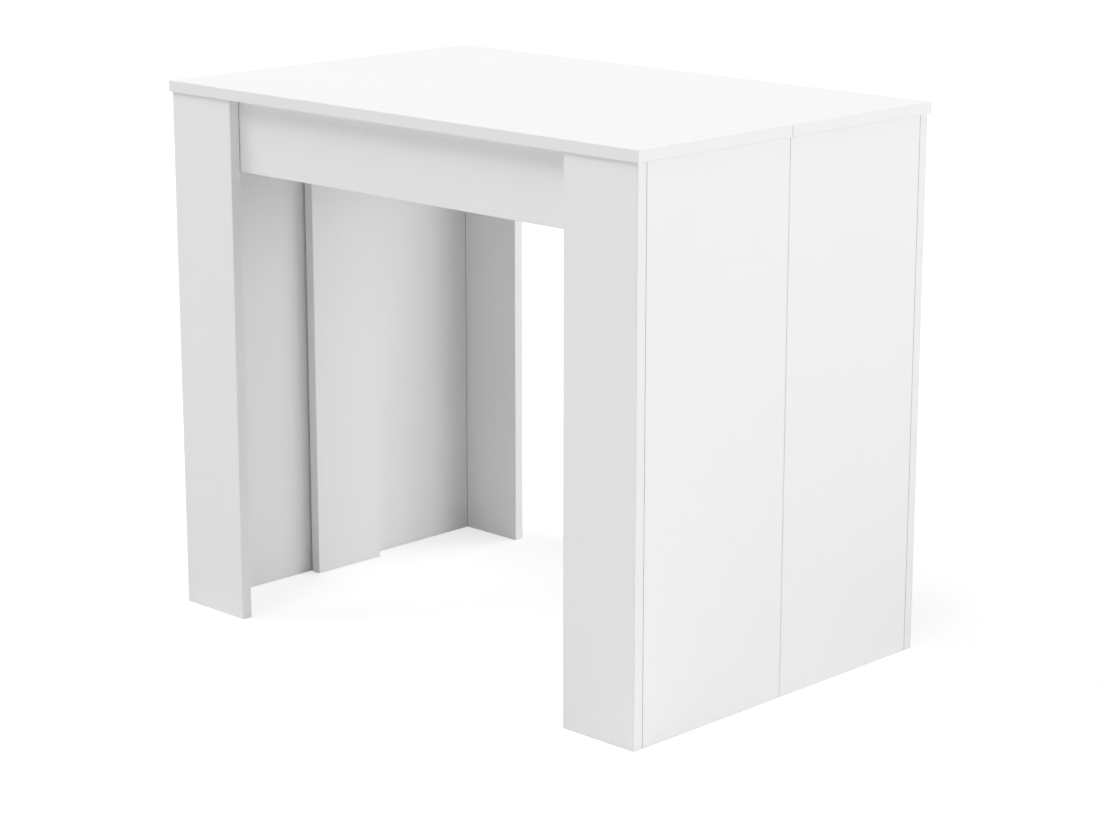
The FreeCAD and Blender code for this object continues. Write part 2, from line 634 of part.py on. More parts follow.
group("center_cams", cam,
      [(f"{sx} * (layout.leg_inner_x - sizes.cam_setback)", y, "layout.beam_low_z", OUTWARD[sx], UP)
       for sx in SIDES.values() for y in beam_spreads])
group("center_cam_bolts", bolt,
      [(f"{sx} * layout.leg_inner_x", y, "layout.beam_mid_z", INWARD[sx], UP)
       for sx in SIDES.values() for y in beam_spreads])
group("center_dowels", dowel,
      [(f"{sx} * layout.leg_inner_x", "0", "layout.beam_mid_z", INWARD[sx], UP) for sx in SIDES.values()])
group("center_rail_screws", beam_screw,
      [(f"{sx} * {rail_x(MIDDLE)}", y, "layout.beam_low_z", UP, REAR)
       for sx in SIDES.values() for y in beam_screws])
group("center_rail_pads", beam_strip.body,
      [(f"{sx} * {rail_x(MIDDLE)} + sizes.rail_width / 2", "-layout.leg_half_width", "layout.beam_top_z",
        REAR, UP) for sx in SIDES.values()])
group("seam_pins", pin,
      [(f"{i} * layout.pin_x", "-layout.seam_y", "layout.under_top + layout.half_board", REAR, UP)
       for i in (-1, 0, 1)])

doc.recompute()

for item in doc.Objects:
    if "Invalid" in item.State or "Error" in item.State:
        raise ValueError(f"{item.Name} did not build: {item.State}")
    if item.TypeId in ("PartDesign::Pocket", "PartDesign::Pad") and item.BaseFeature is not None:
        change = abs(item.BaseFeature.Shape.Volume - item.Shape.Volume)
        if change < value("sizes.overrun") ** 3:
            raise ValueError(f"{item.Name} changes nothing")

os.makedirs("parts", exist_ok=True)
for node in nodes:
    if node.Shape.isNull() or not node.Shape.isValid():
        raise ValueError(f"{node.Label} has no sound shape")
    node.Shape.exportStep(f"parts/{node.Label}.step")
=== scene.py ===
import bmesh
import bpy
import json
import math
from mathutils import Euler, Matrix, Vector


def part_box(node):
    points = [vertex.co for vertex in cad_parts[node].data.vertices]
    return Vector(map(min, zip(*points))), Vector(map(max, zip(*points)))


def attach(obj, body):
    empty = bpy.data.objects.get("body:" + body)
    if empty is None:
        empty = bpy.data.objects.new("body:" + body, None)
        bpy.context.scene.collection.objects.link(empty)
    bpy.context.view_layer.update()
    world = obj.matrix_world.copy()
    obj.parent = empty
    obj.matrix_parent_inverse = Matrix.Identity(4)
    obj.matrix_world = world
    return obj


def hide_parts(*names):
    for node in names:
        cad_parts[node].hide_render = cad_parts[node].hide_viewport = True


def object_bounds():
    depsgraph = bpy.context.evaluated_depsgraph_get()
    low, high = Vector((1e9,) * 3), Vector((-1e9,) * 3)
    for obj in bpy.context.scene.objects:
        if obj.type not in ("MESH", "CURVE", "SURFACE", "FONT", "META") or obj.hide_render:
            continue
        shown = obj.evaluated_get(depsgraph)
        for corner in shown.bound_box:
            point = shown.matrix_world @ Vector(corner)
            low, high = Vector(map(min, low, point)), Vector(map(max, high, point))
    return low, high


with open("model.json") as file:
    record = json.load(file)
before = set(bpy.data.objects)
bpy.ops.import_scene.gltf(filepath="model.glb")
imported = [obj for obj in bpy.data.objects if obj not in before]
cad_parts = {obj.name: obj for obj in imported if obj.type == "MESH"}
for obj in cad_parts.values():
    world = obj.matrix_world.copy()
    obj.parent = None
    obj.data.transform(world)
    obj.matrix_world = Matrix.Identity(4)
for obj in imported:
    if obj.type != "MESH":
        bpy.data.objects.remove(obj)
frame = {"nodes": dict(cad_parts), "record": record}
cad_low, cad_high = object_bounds()
scene = bpy.context.scene

# Camera, measured from the photograph's edges, in metres, degrees and pixels
CAMERA_PLACE = (2.786, -2.833, 1.316)
CAMERA_AZIMUTH = 44.33
CAMERA_ELEVATION = 14.15
FOCAL_PIXELS = 2900
IMAGE_WIDTH = 1100
SENSOR_WIDTH = 36.0

# Studio, in metres and degrees: a lamp's level is the light that it alone gives a white face
# square to it at the table. The camera sees a floor of glow and shade, white beyond its fade
SKY_LEVEL = 0.25
FLOOR_REACH = 30.0
FLOOR_DROP = 0.0002
FLOOR_TONE = 0.85
FLOOR_GLOW = 0.58
FLOOR_SHADE = 0.55
FLOOR_FADE = (5.0, 10.0)
LAMP_DISTANCE = 60.0
LAMP_SIZE = 33.0
LAMPS = {
    "key_softbox": {"azimuth": -60.0, "elevation": 50.0, "level": 0.53},
    "front_softbox": {"azimuth": 8.0, "elevation": 50.0, "level": 0.23},
    "high_softbox": {"azimuth": 158.0, "elevation": 48.0, "level": 0.25},
    "right_softbox": {"azimuth": 116.0, "elevation": 8.0, "level": 0.31},
    "rear_softbox": {"azimuth": 148.0, "elevation": 8.0, "level": 0.34},
}

# White board, in metres: its clouded skin with a pearl grain, the plastic band glued round its edges,
# and a painted shade line, dark grey, where it meets another board
WHITE = 0.85
CLOUD_SHARE = 0.012
CLOUD_STEP = 0.25
SKIN = 0.0004
PEARL_STEP = 0.0005
PEARL_HEIGHT = 0.000012
BOARD_ROUGHNESS = 0.36
RUB_STEP = 0.06
RUB_SHARE = 0.06
BAND = 0.0010
BAND_WHITE = 0.835
BAND_DULLING = 0.04
GLUE_LINE = 0.00008
GLUE_GRAY = 0.70
# Painted shade along the joints: the width and the grey of the dark line where boards touch
JOINT_SHADE_WIDTH = 0.00050
JOINT_SHADE_GRAY = 0.44
TOUCH = 0.0003
LEAST_JOINT = 0.0050

# Chipboard, bare where a board is drilled; its relief is counted in pearl heights
CHIP_STEP = 0.0022
CHIP_RELIEF = 20.0
CHIP_ROUGHNESS = 0.85
CHIP_STOPS = ((0.30, (0.23, 0.14, 0.07)), (0.50, (0.50, 0.35, 0.20)), (0.70, (0.70, 0.54, 0.36)))

# Aluminium rails: die lines run along y, saw marks across a cut end, whose relief is counted in die lines
DIE_LINE_STEP = 0.0006
DIE_LINE_STRETCH = (1.0, 0.004, 1.0)
DIE_LINE_HEIGHT = 0.000015
DIE_LINE_DARK = (0.50, 0.50, 0.50, 1.0)
DIE_LINE_PALE = (0.60, 0.605, 0.615, 1.0)
DIE_LINE_DULLING = 0.10
SAW_MARK_STEP = 0.0004
SAW_MARK_STRETCH = (0.05, 1.0, 1.0)
SAW_MARK_RELIEF = 3.0
CUT_END_FACING = 0.9
CUT_END_TONE = 0.70
RAIL_CLOUD_STEP = 0.05
RAIL_CLOUD_DULLING = 0.10
RAIL_ROUGHNESS = 0.30

# Nylon runners and pads: their grain, and streaks along the slide that rub them smooth
NYLON_GRAIN_STEP = 0.0004
NYLON_GRAIN_HEIGHT = 0.00003
NYLON_STREAK_STEP = 0.0012
NYLON_STREAK_STRETCH = (1.0, 0.02, 1.0)
NYLON_DARK = 0.022
NYLON_PALE = 0.048
NYLON_ROUGHNESS = 0.62
NYLON_POLISH = 0.24

# Zinc plating of the bolts, screws and pins, with a faint blue to yellow stain
PLATING_STEP = 0.0010
PLATING_HEIGHT = 0.00002
PLATING_ROUGHNESS = 0.22
PLATING_DULLING = 0.20
STAIN_STEP = 0.0060
STAIN_BLUE = (0.62, 0.63, 0.66, 1.0)
STAIN_YELLOW = (0.80, 0.79, 0.76, 1.0)

# Die-cast zinc of the cam locks
CAST_GRAIN_STEP = 0.0005
CAST_GRAIN_HEIGHT = 0.00004
CAST_ROUGHNESS = 0.40
CAST_DULLING = 0.20
CAST_FLOW_STEP = 0.0040
CAST_DARK = 0.42
CAST_PALE = 0.60

# Beech of the dowels, with its grain along z
WOOD_GRAIN_STEP = 0.0012
WOOD_GRAIN_STRETCH = (1.0, 1.0, 0.06)
WOOD_GRAIN_HEIGHT = 0.00004
WOOD_ROUGHNESS = 0.62
WOOD_DULLING = 0.12
WOOD_STOPS = ((0.25, (0.50, 0.32, 0.18)), (0.55, (0.68, 0.48, 0.30)), (0.80, (0.78, 0.60, 0.41)))
FLECK_STEP = 0.0006
FLECK_STRETCH = (1.0, 1.0, 0.15)
FLECK_LIMIT = 0.62
FLECK_BROWN = (0.42, 0.25, 0.13, 1.0)

# Fasteners in metres, in the words of their trees; what is missing here comes from the frame's own boxes
CAM_LOCK = {"Lip": 0.0006, "Face": 0.0040, "Way": 0.0076, "Way Reach": 0.0045, "Recess Length": 0.0090,
            "Recess Width": 0.0020, "Recess Depth": 0.0020, "Arrow": 0.0016, "Arrow Depth": 0.0005}
CAM_BOLT = {"Thread": 0.0110, "Thread Diameter": 0.0050, "Collar": 0.0020, "Collar Diameter": 0.0075,
            "Neck Diameter": 0.0050, "Head": 0.0040, "Head Diameter": 0.0070, "Pitch": 0.0016,
            "Core Diameter": 0.0034}
SCREW = {"Head": 0.0024, "Head Diameter": 0.0076, "Crown Diameter": 0.0050, "Diameter": 0.0040,
         "Core Diameter": 0.0026, "Point": 0.0030, "Pitch": 0.0018, "Recess Length": 0.0042,
         "Recess Width": 0.0009, "Recess Depth": 0.0014}
DOWEL = {"Diameter": 0.0080, "Flute Depth": 0.0003, "Chamfer": 0.0010}
DOWEL_FLUTES = 20
DOWEL_RINGS = 4
ROUND_SIDES = 40
THREAD_SIDES = 14
RIDGE_SIDES = 3
ARROW_SIDES = 3
OVERRUN = 0.0005
SAME_CORNER = 0.000001
SMOOTH_ANGLE = 35.0


class Value:
    """A socket of a node tree. Arithmetic on it adds Math nodes to that tree."""

    def __init__(self, graph, socket):
        self.graph = graph
        self.socket = socket

    def __add__(self, other):
        return self.graph.calc("ADD", self, other)

    def __sub__(self, other):
        return self.graph.calc("SUBTRACT", self, other)

    def __rsub__(self, other):
        return self.graph.calc("SUBTRACT", other, self)

    def __mul__(self, other):
        return self.graph.calc("MULTIPLY", self, other)

    def __truediv__(self, other):
        return self.graph.calc("DIVIDE", self, other)

    def __rtruediv__(self, other):
        return self.graph.calc("DIVIDE", other, self)

    def __gt__(self, other):
        return self.graph.calc("GREATER_THAN", self, other)

    def __lt__(self, other):
        return self.graph.calc("LESS_THAN", self, other)

    def __neg__(self):
        return self.graph.calc("MULTIPLY", self, -1.0)

    def __abs__(self):
        return self.graph.calc("ABSOLUTE", self)

    __radd__ = __add__
    __rmul__ = __mul__


class Graph:
    """A node tree, and the one way in which nodes are added to it."""

    def __init__(self, tree):
        self.tree = tree

    def node(self, kind, settings=None, sockets=None, output=0):
        made = self.tree.nodes.new(kind)
        for name, setting in (settings or {}).items():
            if name == "stops":
                self.set_stops(made.color_ramp, setting)
            else:
                setattr(made, name, setting)
        for key, given in (sockets or {}).items():
            for item in given if isinstance(given, list) else [given]:
                if isinstance(item, Value):
                    self.tree.links.new(item.socket, made.inputs[key])
                else:
                    made.inputs[key].default_value = item
        return Value(self, made.outputs[output]) if made.outputs else None

    def set_stops(self, ramp, stops):
        while len(ramp.elements) < len(stops):
            ramp.elements.new(1.0)
        for element, (position, color) in zip(ramp.elements, stops):
            element.position = position
            element.color = (*color, 1.0)

    def calc(self, operation, *terms):
        return self.node("ShaderNodeMath", {"operation": operation}, dict(enumerate(terms)))

    def least(self, first, *others):
        for other in others:
            first = self.calc("MINIMUM", first, other)
        return first

    def most(self, first, *others):
        for other in others:
            first = self.calc("MAXIMUM", first, other)
        return first

    def vector(self, x, y, z):
        return self.node("ShaderNodeCombineXYZ", None, {"X": x, "Y": y, "Z": z})

    def split(self, vector):
        parts = self.node("ShaderNodeSeparateXYZ", None, {"Vector": vector}).socket.node
        return [Value(self, socket) for socket in parts.outputs]

    def place(self):
        return self.node("ShaderNodeTexCoord", output="Object")

    def noise(self, place, step, detail=2.0, stretch=(1.0, 1.0, 1.0)):
        scale = tuple(share / step for share in stretch)
        grid = self.node("ShaderNodeVectorMath", {"operation": "MULTIPLY"}, {0: place, 1: scale})
        return self.node("ShaderNodeTexNoise", None, {"Vector": grid, "Scale": 1.0, "Detail": detail})

    def ramp(self, share, stops):
        return self.node("ShaderNodeValToRGB", {"stops": stops}, {"Fac": share})

    # A Mix node of colours takes its share in socket 0 and its colours in 6 and 7, and gives socket 2
    def mix(self, share, first, second):
        return self.node("ShaderNodeMix", {"data_type": "RGBA"}, {0: share, 6: first, 7: second}, 2)

    def bump(self, height, distance):
        return self.node("ShaderNodeBump", None, {"Height": height, "Distance": distance})

    def blend(self, share, first, second):
        return self.node("ShaderNodeMixShader", None, {0: share, 1: first, 2: second})


def gray(tone):
    return (tone, tone, tone, 1.0)


def new_finish(name):
    material = bpy.data.materials.new(name)
    material.use_nodes = True
    material.node_tree.nodes.clear()
    return material, Graph(material.node_tree)


def close_finish(graph, sockets):
    shader = graph.node("ShaderNodeBsdfPrincipled", None, sockets)
    graph.node("ShaderNodeOutputMaterial", None, {"Surface": shader})


# Faces on which a board meets its neighbours, as flat boxes
def joints_of(label, boards):
    low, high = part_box(label)
    for other in boards:
        other_low, other_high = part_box(other)
        start = [max(pair) for pair in zip(low, other_low)]
        end = [min(pair) for pair in zip(high, other_high)]
        thin, *wide = sorted(b - a for a, b in zip(start, end))
        if abs(thin) < TOUCH and min(wide) > LEAST_JOINT:
            yield start, end


# Faced board: pearl-grained white skin, a glued edge band round it, painted shade along its joints with
# other boards, and chipboard inside its drilled holes
def white_board(label, boards):
    low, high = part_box(label)
    material, graph = new_finish("white_board_" + label)
    place = graph.place()
    spot = graph.split(place)
    inset = [graph.least(c - a, b - c) for c, a, b in zip(spot, low, high)]
    thin = min(range(3), key=lambda axis: high[axis] - low[axis])
    to_edge = graph.least(*[inset[axis] for axis in range(3) if axis != thin])
    in_core = graph.least(to_edge, inset[thin]) > SKIN
    in_band = to_edge < BAND
    on_glue = abs(to_edge - BAND) < GLUE_LINE
    to_joints = [graph.most(*[graph.most(a - c, c - b) for c, a, b in zip(spot, start, end)])
                 for start, end in joints_of(label, boards)]
    # Painted shade: the skin turns dark grey within half a millimetre of each face where the board touches
    # another board
    in_joint_shade = graph.least(*to_joints) < JOINT_SHADE_WIDTH

    cloud = graph.noise(place, CLOUD_STEP)
    pearl = graph.noise(place, PEARL_STEP, detail=3.0)
    skin = graph.mix(cloud, gray(WHITE * (1 - CLOUD_SHARE)), gray(WHITE * (1 + CLOUD_SHARE)))
    skin = graph.mix(in_band, skin, gray(BAND_WHITE))
    skin = graph.mix(on_glue, skin, gray(GLUE_GRAY))
    # The painted joint shade goes into the base colour here
    skin = graph.mix(in_joint_shade, skin, gray(JOINT_SHADE_GRAY))
    chips = graph.noise(place, CHIP_STEP, detail=4.0)
    roughness = BOARD_ROUGHNESS + RUB_SHARE * graph.noise(place, RUB_STEP) + BAND_DULLING * in_band
    relief = pearl * (1 - in_core) + CHIP_RELIEF * chips * in_core
    close_finish(graph, {
        "Base Color": graph.mix(in_core, skin, graph.ramp(chips, CHIP_STOPS)),
        "Roughness": graph.most(roughness, CHIP_ROUGHNESS * in_core),
        "Normal": graph.bump(relief, PEARL_HEIGHT)})
    return material


# Satin anodised extrusion: die lines along its length, saw marks on its cut ends
def anodised_aluminium():
    material, graph = new_finish("anodised_aluminium")
    place = graph.place()
    facing = graph.split(graph.node("ShaderNodeTexCoord", output="Normal"))
    cut_end = abs(facing[1]) > CUT_END_FACING
    die_lines = graph.noise(place, DIE_LINE_STEP, stretch=DIE_LINE_STRETCH)
    saw_marks = graph.noise(place, SAW_MARK_STEP, stretch=SAW_MARK_STRETCH)
    cloud = graph.noise(place, RAIL_CLOUD_STEP, detail=3.0)
    tone = graph.mix(die_lines, DIE_LINE_DARK, DIE_LINE_PALE)
    relief = die_lines * (1 - cut_end) + SAW_MARK_RELIEF * saw_marks * cut_end
    close_finish(graph, {
        "Base Color": graph.mix(cut_end, tone, gray(CUT_END_TONE)),
        "Metallic": 1.0,
        "Roughness": RAIL_ROUGHNESS + RAIL_CLOUD_DULLING * cloud + DIE_LINE_DULLING * die_lines,
        "Normal": graph.bump(relief, DIE_LINE_HEIGHT)})
    return material


# Moulded black nylon: spark-eroded grain, and streaks where it slides
def black_nylon():
    material, graph = new_finish("black_nylon")
    place = graph.place()
    grain = graph.noise(place, NYLON_GRAIN_STEP, detail=3.0)
    streaks = graph.noise(place, NYLON_STREAK_STEP, stretch=NYLON_STREAK_STRETCH)
    close_finish(graph, {
        "Base Color": graph.mix(streaks, gray(NYLON_DARK), gray(NYLON_PALE)),
        "Roughness": NYLON_ROUGHNESS - NYLON_POLISH * streaks,
        "Normal": graph.bump(grain, NYLON_GRAIN_HEIGHT)})
    return material


# Bright zinc plating of the bolts, screws and pins
def zinc_steel():
    material, graph = new_finish("zinc_steel")
    place = graph.place()
    plating = graph.noise(place, PLATING_STEP, detail=3.0)
    stain = graph.noise(place, STAIN_STEP)
    close_finish(graph, {
        "Base Color": graph.mix(stain, STAIN_BLUE, STAIN_YELLOW),
        "Metallic": 1.0,
        "Roughness": PLATING_ROUGHNESS + PLATING_DULLING * plating,
        "Normal": graph.bump(plating, PLATING_HEIGHT)})
    return material


# Dull, grainy skin of the die-cast cam locks
def cast_zinc():
    material, graph = new_finish("cast_zinc")
    place = graph.place()
    grain = graph.noise(place, CAST_GRAIN_STEP, detail=4.0)
    flow = graph.noise(place, CAST_FLOW_STEP)
    close_finish(graph, {
        "Base Color": graph.mix(flow, gray(CAST_DARK), gray(CAST_PALE)),
        "Metallic": 1.0,
        "Roughness": CAST_ROUGHNESS + CAST_DULLING * grain,
        "Normal": graph.bump(grain, CAST_GRAIN_HEIGHT)})
    return material


# Bare beech: grain along each dowel, with short dark flecks
def beech():
    material, graph = new_finish("beech")
    place = graph.node("ShaderNodeAttribute", {"attribute_name": "grain"}, None, "Vector")
    grain = graph.noise(place, WOOD_GRAIN_STEP, detail=3.0, stretch=WOOD_GRAIN_STRETCH)
    flecks = graph.noise(place, FLECK_STEP, detail=1.0, stretch=FLECK_STRETCH)
    wood = graph.ramp(grain, WOOD_STOPS)
    close_finish(graph, {
        "Base Color": graph.mix(flecks > FLECK_LIMIT, wood, FLECK_BROWN),
        "Roughness": WOOD_ROUGHNESS + WOOD_DULLING * grain,
        "Normal": graph.bump(grain, WOOD_GRAIN_HEIGHT)})
    return material


# Fastener tree: a shape drawn from named sizes, set on each site with its z along the fastener
class FastenerTree(Graph):
    def __init__(self, name, sizes):
        super().__init__(bpy.data.node_groups.new(name, "GeometryNodeTree"))
        panel = self.tree.interface
        panel.new_socket("Sites", in_out="INPUT", socket_type="NodeSocketGeometry")
        for size in sizes:
            panel.new_socket(size, in_out="INPUT", socket_type="NodeSocketFloat")
        panel.new_socket("Finish", in_out="INPUT", socket_type="NodeSocketMaterial")
        panel.new_socket("Fasteners", in_out="OUTPUT", socket_type="NodeSocketGeometry")
        self.given = self.tree.nodes.new("NodeGroupInput")

    def size(self, name):
        return Value(self, self.given.outputs[name])

    def shift(self, shape, x=0.0, z=0.0):
        return self.node("GeometryNodeTransform", None,
                         {"Geometry": shape, "Translation": self.vector(x, 0.0, z)})

    def rod(self, radius, start, end, sides=ROUND_SIDES):
        shape = self.node("GeometryNodeMeshCylinder", None,
                          {"Vertices": sides, "Radius": radius, "Depth": end - start})
        return self.shift(shape, z=(start + end) / 2)

    def taper(self, start_radius, end_radius, start, end):
        shape = self.node("GeometryNodeMeshCone", None, {
            "Vertices": ROUND_SIDES, "Radius Bottom": start_radius, "Radius Top": end_radius,
            "Depth": end - start})
        return self.shift(shape, z=start)

    def block(self, length, width, start, end, x=0.0):
        size = self.vector(length, width, end - start)
        shape = self.node("GeometryNodeMeshCube", None, {"Size": size})
        return self.shift(shape, x=x, z=(start + end) / 2)

    def cross(self, length, width, start, end):
        return [self.block(length, width, start, end), self.block(width, length, start, end)]

    def thread(self, radius, core, start, end, pitch):
        length = end - start
        path = self.node("GeometryNodeCurveSpiral", None, {
            "Resolution": THREAD_SIDES, "Rotations": length / pitch, "Start Radius": core,
            "End Radius": core, "Height": length})
        ridge = self.node("GeometryNodeCurvePrimitiveCircle", None,
                          {"Resolution": RIDGE_SIDES, "Radius": radius - core})
        coil = self.node("GeometryNodeCurveToMesh", None,
                         {"Curve": path, "Profile Curve": ridge, "Fill Caps": True})
        return self.shift(coil, z=start)

    def join(self, *shapes):
        return self.node("GeometryNodeJoinGeometry", None, {"Geometry": list(shapes)})

    def fuse(self, *shapes):
        return self.node("GeometryNodeMeshBoolean", {"operation": "UNION", "solver": "EXACT"},
                         {"Mesh 2": list(shapes)})

    def cut(self, shape, *tools):
        return self.node("GeometryNodeMeshBoolean", {"operation": "DIFFERENCE", "solver": "EXACT"},
                         {"Mesh 1": shape, "Mesh 2": list(tools)})

    def close(self, shape):
        kind = {"data_type": "FLOAT_VECTOR"}
        along, across = (self.node("GeometryNodeInputNamedAttribute", kind, {"Name": name})
                         for name in ("along", "across"))
        grained = self.node("GeometryNodeStoreNamedAttribute", kind, {
            "Geometry": shape, "Name": "grain", "Value": self.node("GeometryNodeInputPosition")})
        turn = self.node("FunctionNodeAxesToRotation", {"primary_axis": "Z", "secondary_axis": "X"},
                         {"Primary Axis": along, "Secondary Axis": across})
        placed = self.node("GeometryNodeInstanceOnPoints", None,
                           {"Points": self.size("Sites"), "Instance": grained, "Rotation": turn})
        whole = self.node("GeometryNodeRealizeInstances", None, {"Geometry": placed})
        finished = self.node("GeometryNodeSetMaterial", None,
                             {"Geometry": whole, "Material": self.size("Finish")})
        self.node("NodeGroupOutput", None, {"Fasteners": finished})
        return self.tree


# Cam lock: its face at zero, the way for the bolt's head along x
def cam_tree():
    tree = FastenerTree("cam_lock", ["Diameter", "Depth", *CAM_LOCK])
    radius, depth, lip = tree.size("Diameter") / 2, tree.size("Depth"), tree.size("Lip")
    reach = tree.size("Way Reach")
    long, wide, deep = (tree.size("Recess " + word) for word in ("Length", "Width", "Depth"))
    disc = tree.fuse(tree.taper(radius - lip, radius, 0.0, lip), tree.rod(radius, lip, depth))
    way_length = reach + radius + OVERRUN
    way_middle = way_length / 2 - reach
    way = tree.block(way_length, tree.size("Way"), tree.size("Face"), depth + OVERRUN, way_middle)
    slots = tree.cross(long, wide, -OVERRUN, deep)
    arrow = tree.rod(tree.size("Arrow"), -OVERRUN, tree.size("Arrow Depth"), ARROW_SIDES)
    arrow = tree.shift(arrow, x=(radius + long / 2) / 2)
    return tree.close(tree.cut(disc, way, *slots, arrow))


# Cam bolt: the joint's plane at zero, its thread below, its collar, neck and head above
def bolt_tree():
    tree = FastenerTree("cam_bolt", ["Length", *CAM_BOLT])
    core, neck, head = (tree.size(word + " Diameter") / 2 for word in ("Core", "Neck", "Head"))
    start, collar = -tree.size("Thread"), tree.size("Collar")
    tip = tree.size("Length") - tree.size("Thread")
    head_start = tip - tree.size("Head")
    head_middle = (head_start + tip) / 2
    ridge = tree.size("Thread Diameter") / 2
    return tree.close(tree.join(
        tree.rod(core, start, 0.0),
        tree.thread(ridge, core, start + OVERRUN, -OVERRUN, tree.size("Pitch")),
        tree.rod(tree.size("Collar Diameter") / 2, 0.0, collar),
        tree.rod(neck, collar, head_start),
        tree.taper(neck, head, head_start, head_middle),
        tree.rod(head, head_middle, tip)))


# Screw: the bearing face of its pan head at zero, the shank above
def screw_tree():
    tree = FastenerTree("screw", ["Length", *SCREW])
    head, crown, core = (tree.size(word + " Diameter") / 2 for word in ("Head", "Crown", "Core"))
    top = -tree.size("Head")
    point = tree.size("Length") - tree.size("Head") - tree.size("Point")
    long, wide, deep = (tree.size("Recess " + word) for word in ("Length", "Width", "Depth"))
    pan = tree.fuse(tree.taper(crown, head, top, top / 2), tree.rod(head, top / 2, 0.0))
    slots = tree.cross(long, wide, top - OVERRUN, top + deep)
    pitch = tree.size("Pitch")
    return tree.close(tree.join(
        tree.cut(pan, *slots),
        tree.rod(core, 0.0, point),
        tree.taper(core, 0.0, point, point + tree.size("Point")),
        tree.thread(tree.size("Diameter") / 2, core, pitch, point, pitch)))


# Dowel: its middle at zero, fluted along its length, its ends chamfered; its rings are numbered from 0 to 3
def dowel_tree():
    tree = FastenerTree("dowel", ["Length", *DOWEL])
    radius, chamfer, length = tree.size("Diameter") / 2, tree.size("Chamfer"), tree.size("Length")
    ring = tree.node("GeometryNodeInputIndex")
    from_second, from_third, from_last = (ring > number - 0.5 for number in range(1, DOWEL_RINGS))
    rise = from_second * chamfer + from_third * (length - 2.0 * chamfer) + from_last * chamfer
    path = tree.node("GeometryNodeResampleCurve", None,
                     {"Curve": tree.node("GeometryNodeCurvePrimitiveLine"), "Count": DOWEL_RINGS})
    path = tree.node("GeometryNodeSetPosition", None,
                     {"Geometry": path, "Position": tree.vector(0.0, 0.0, rise - length / 2)})
    flutes = tree.node("GeometryNodeCurveStar", None, {
        "Points": DOWEL_FLUTES, "Inner Radius": radius - tree.size("Flute Depth"),
        "Outer Radius": radius})
    inner = from_second * (1.0 - from_last)
    taper = 1.0 - (1.0 - inner) * chamfer / radius
    return tree.close(tree.node("GeometryNodeCurveToMesh", None, {
        "Curve": path, "Profile Curve": flutes, "Scale": taper, "Fill Caps": True}))


# Lowest and highest corners of each solid of a node that holds several
def solids_of(label):
    shape = bmesh.new()
    shape.from_mesh(frame["nodes"][label].data)
    bmesh.ops.remove_doubles(shape, verts=shape.verts, dist=SAME_CORNER)
    left = set(shape.verts)
    boxes = []
    while left:
        front = [left.pop()]
        found = list(front)
        while front:
            for edge in front.pop().link_edges:
                for corner in left.intersection(edge.verts):
                    left.remove(corner)
                    front.append(corner)
                    found.append(corner)
        spans = list(zip(*[corner.co for corner in found]))
        boxes.append((Vector(map(min, spans)), Vector(map(max, spans))))
    shape.free()
    return sorted(boxes, key=lambda box: tuple(box[0] + box[1]))


def unit(axis, sign=1.0):
    return Vector([sign if axis == number else 0.0 for number in range(3)])


def side_of(number):
    return math.copysign(1.0, number)


# Sites: the place, the axis and a direction across it for each fastener of a node, with its box's size
def cam_sites(label):
    for low, high in solids_of(label):
        size, middle = high - low, (low + high) / 2
        axis = min(range(3), key=lambda number: size[number])
        inward = 1.0 if axis == 2 else side_of(middle[axis])
        place = middle - unit(axis, inward * size[axis] / 2)
        across = unit(2) if axis == 0 else unit(0, side_of(middle.x))
        yield place, unit(axis, inward), across, {"Diameter": max(size), "Depth": size[axis]}


def bolt_sites(label):
    for low, high in solids_of(label):
        size, middle = high - low, (low + high) / 2
        axis = max(range(3), key=lambda number: size[number])
        onward = -1.0 if axis == 2 else -side_of(middle.x)
        place = middle - unit(axis, onward * (size[axis] / 2 - CAM_BOLT["Thread"]))
        yield place, unit(axis, onward), unit(1), {"Length": size[axis]}


def screw_sites(label):
    for low, high in solids_of(label):
        middle = (low + high) / 2
        place = Vector((middle.x, middle.y, low.z + SCREW["Head"]))
        yield place, unit(2), unit(0), {"Length": high.z - low.z}


def dowel_sites(label):
    for low, high in solids_of(label):
        size = high - low
        axis = max(range(3), key=lambda number: size[number])
        yield (low + high) / 2, unit(axis), unit((axis + 1) % 3), {"Length": size[axis]}


def show(thing):
    scene.collection.objects.link(thing)
    return thing


# One plain mesh with a node's fasteners, which stands for that node
def fasteners(name, body, node, tree, sites, sizes, finish):
    sites = list(sites)
    points = bpy.data.meshes.new(name + "_sites")
    points.from_pydata([site[0] for site in sites], [], [])
    for column, label in ((1, "along"), (2, "across")):
        directions = points.attributes.new(label, "FLOAT_VECTOR", "POINT")
        for point, site in zip(directions.data, sites):
            point.vector = site[column]
    maker = show(bpy.data.objects.new(name + "_maker", points))
    modifier = maker.modifiers.new(name, "NODES")
    modifier.node_group = tree
    given = {**sizes, **sites[0][3], "Finish": finish}
    for item in tree.interface.items_tree:
        if item.name in given:
            modifier[item.identifier] = given[item.name]
    ready = bpy.context.evaluated_depsgraph_get()
    mesh = bpy.data.meshes.new_from_object(maker.evaluated_get(ready), depsgraph=ready)
    mesh.shade_smooth()
    mesh.set_sharp_from_angle(angle=math.radians(SMOOTH_ANGLE))
    bpy.data.objects.remove(maker)
    piece = show(bpy.data.objects.new(name, mesh))
    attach(piece, body)
    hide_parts(node)


finishes = {"anodised_aluminium": anodised_aluminium(), "black_nylon": black_nylon(),
            "zinc_steel": zinc_steel(), "beech": beech()}
die_cast = cast_zinc()
parts = frame["record"]["subparts"]
boards = [part["node"] for part in parts if part["material_slot"] == "white_board"]
for part in parts:
    label, slot = part["node"], part["material_slot"]
    finish = white_board(label, boards) if slot == "white_board" else finishes[slot]
    mesh = frame["nodes"][label].data
    mesh.materials.clear()
    mesh.materials.append(finish)

